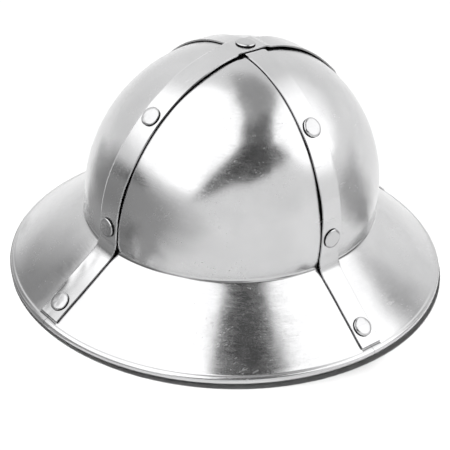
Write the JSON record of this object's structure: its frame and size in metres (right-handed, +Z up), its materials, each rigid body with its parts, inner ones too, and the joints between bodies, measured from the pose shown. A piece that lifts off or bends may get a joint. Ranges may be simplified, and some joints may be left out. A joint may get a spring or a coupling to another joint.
{
  "type": "kettle hat",
  "caption": "Polished steel kettle hat: round crown and sloping brim of riveted plates under crossing straps, with domed rivets and a rolled rim; worn as a war hat.",
  "frame": {"origin": "middle of the plane that the rolled rim rests on", "axes": "+Z up through the crown's top rivet, -Y to the wearer's front, +X to the side strap's right end as seen from above with the front down the page"},
  "size_m": [0.32, 0.34, 0.1805],
  "materials": {
    "plate_steel": "bright polished steel with fine polishing marks",
    "strap_steel": "bright polished steel strip with filed edges",
    "rivet_steel": "polished steel rivet heads with small hammer marks"
  },
  "bodies": {
    "root": {"plate_front_right": "plate_steel", "plate_back_right": "plate_steel", "plate_back_left": "plate_steel", "plate_front_left": "plate_steel", "strap_front_to_back": "strap_steel", "strap_side_to_side": "strap_steel", "rivet_top": "rivet_steel", "rivet_front_upper": "rivet_steel", "rivet_front_lower": "rivet_steel", "rivet_front_brim": "rivet_steel", "rivet_right_upper": "rivet_steel", "rivet_right_lower": "rivet_steel", "rivet_right_brim": "rivet_steel", "rivet_back_upper": "rivet_steel", "rivet_back_lower": "rivet_steel", "rivet_back_brim": "rivet_steel", "rivet_left_upper": "rivet_steel", "rivet_left_lower": "rivet_steel", "rivet_left_brim": "rivet_steel"}
  },
  "joints": []
}
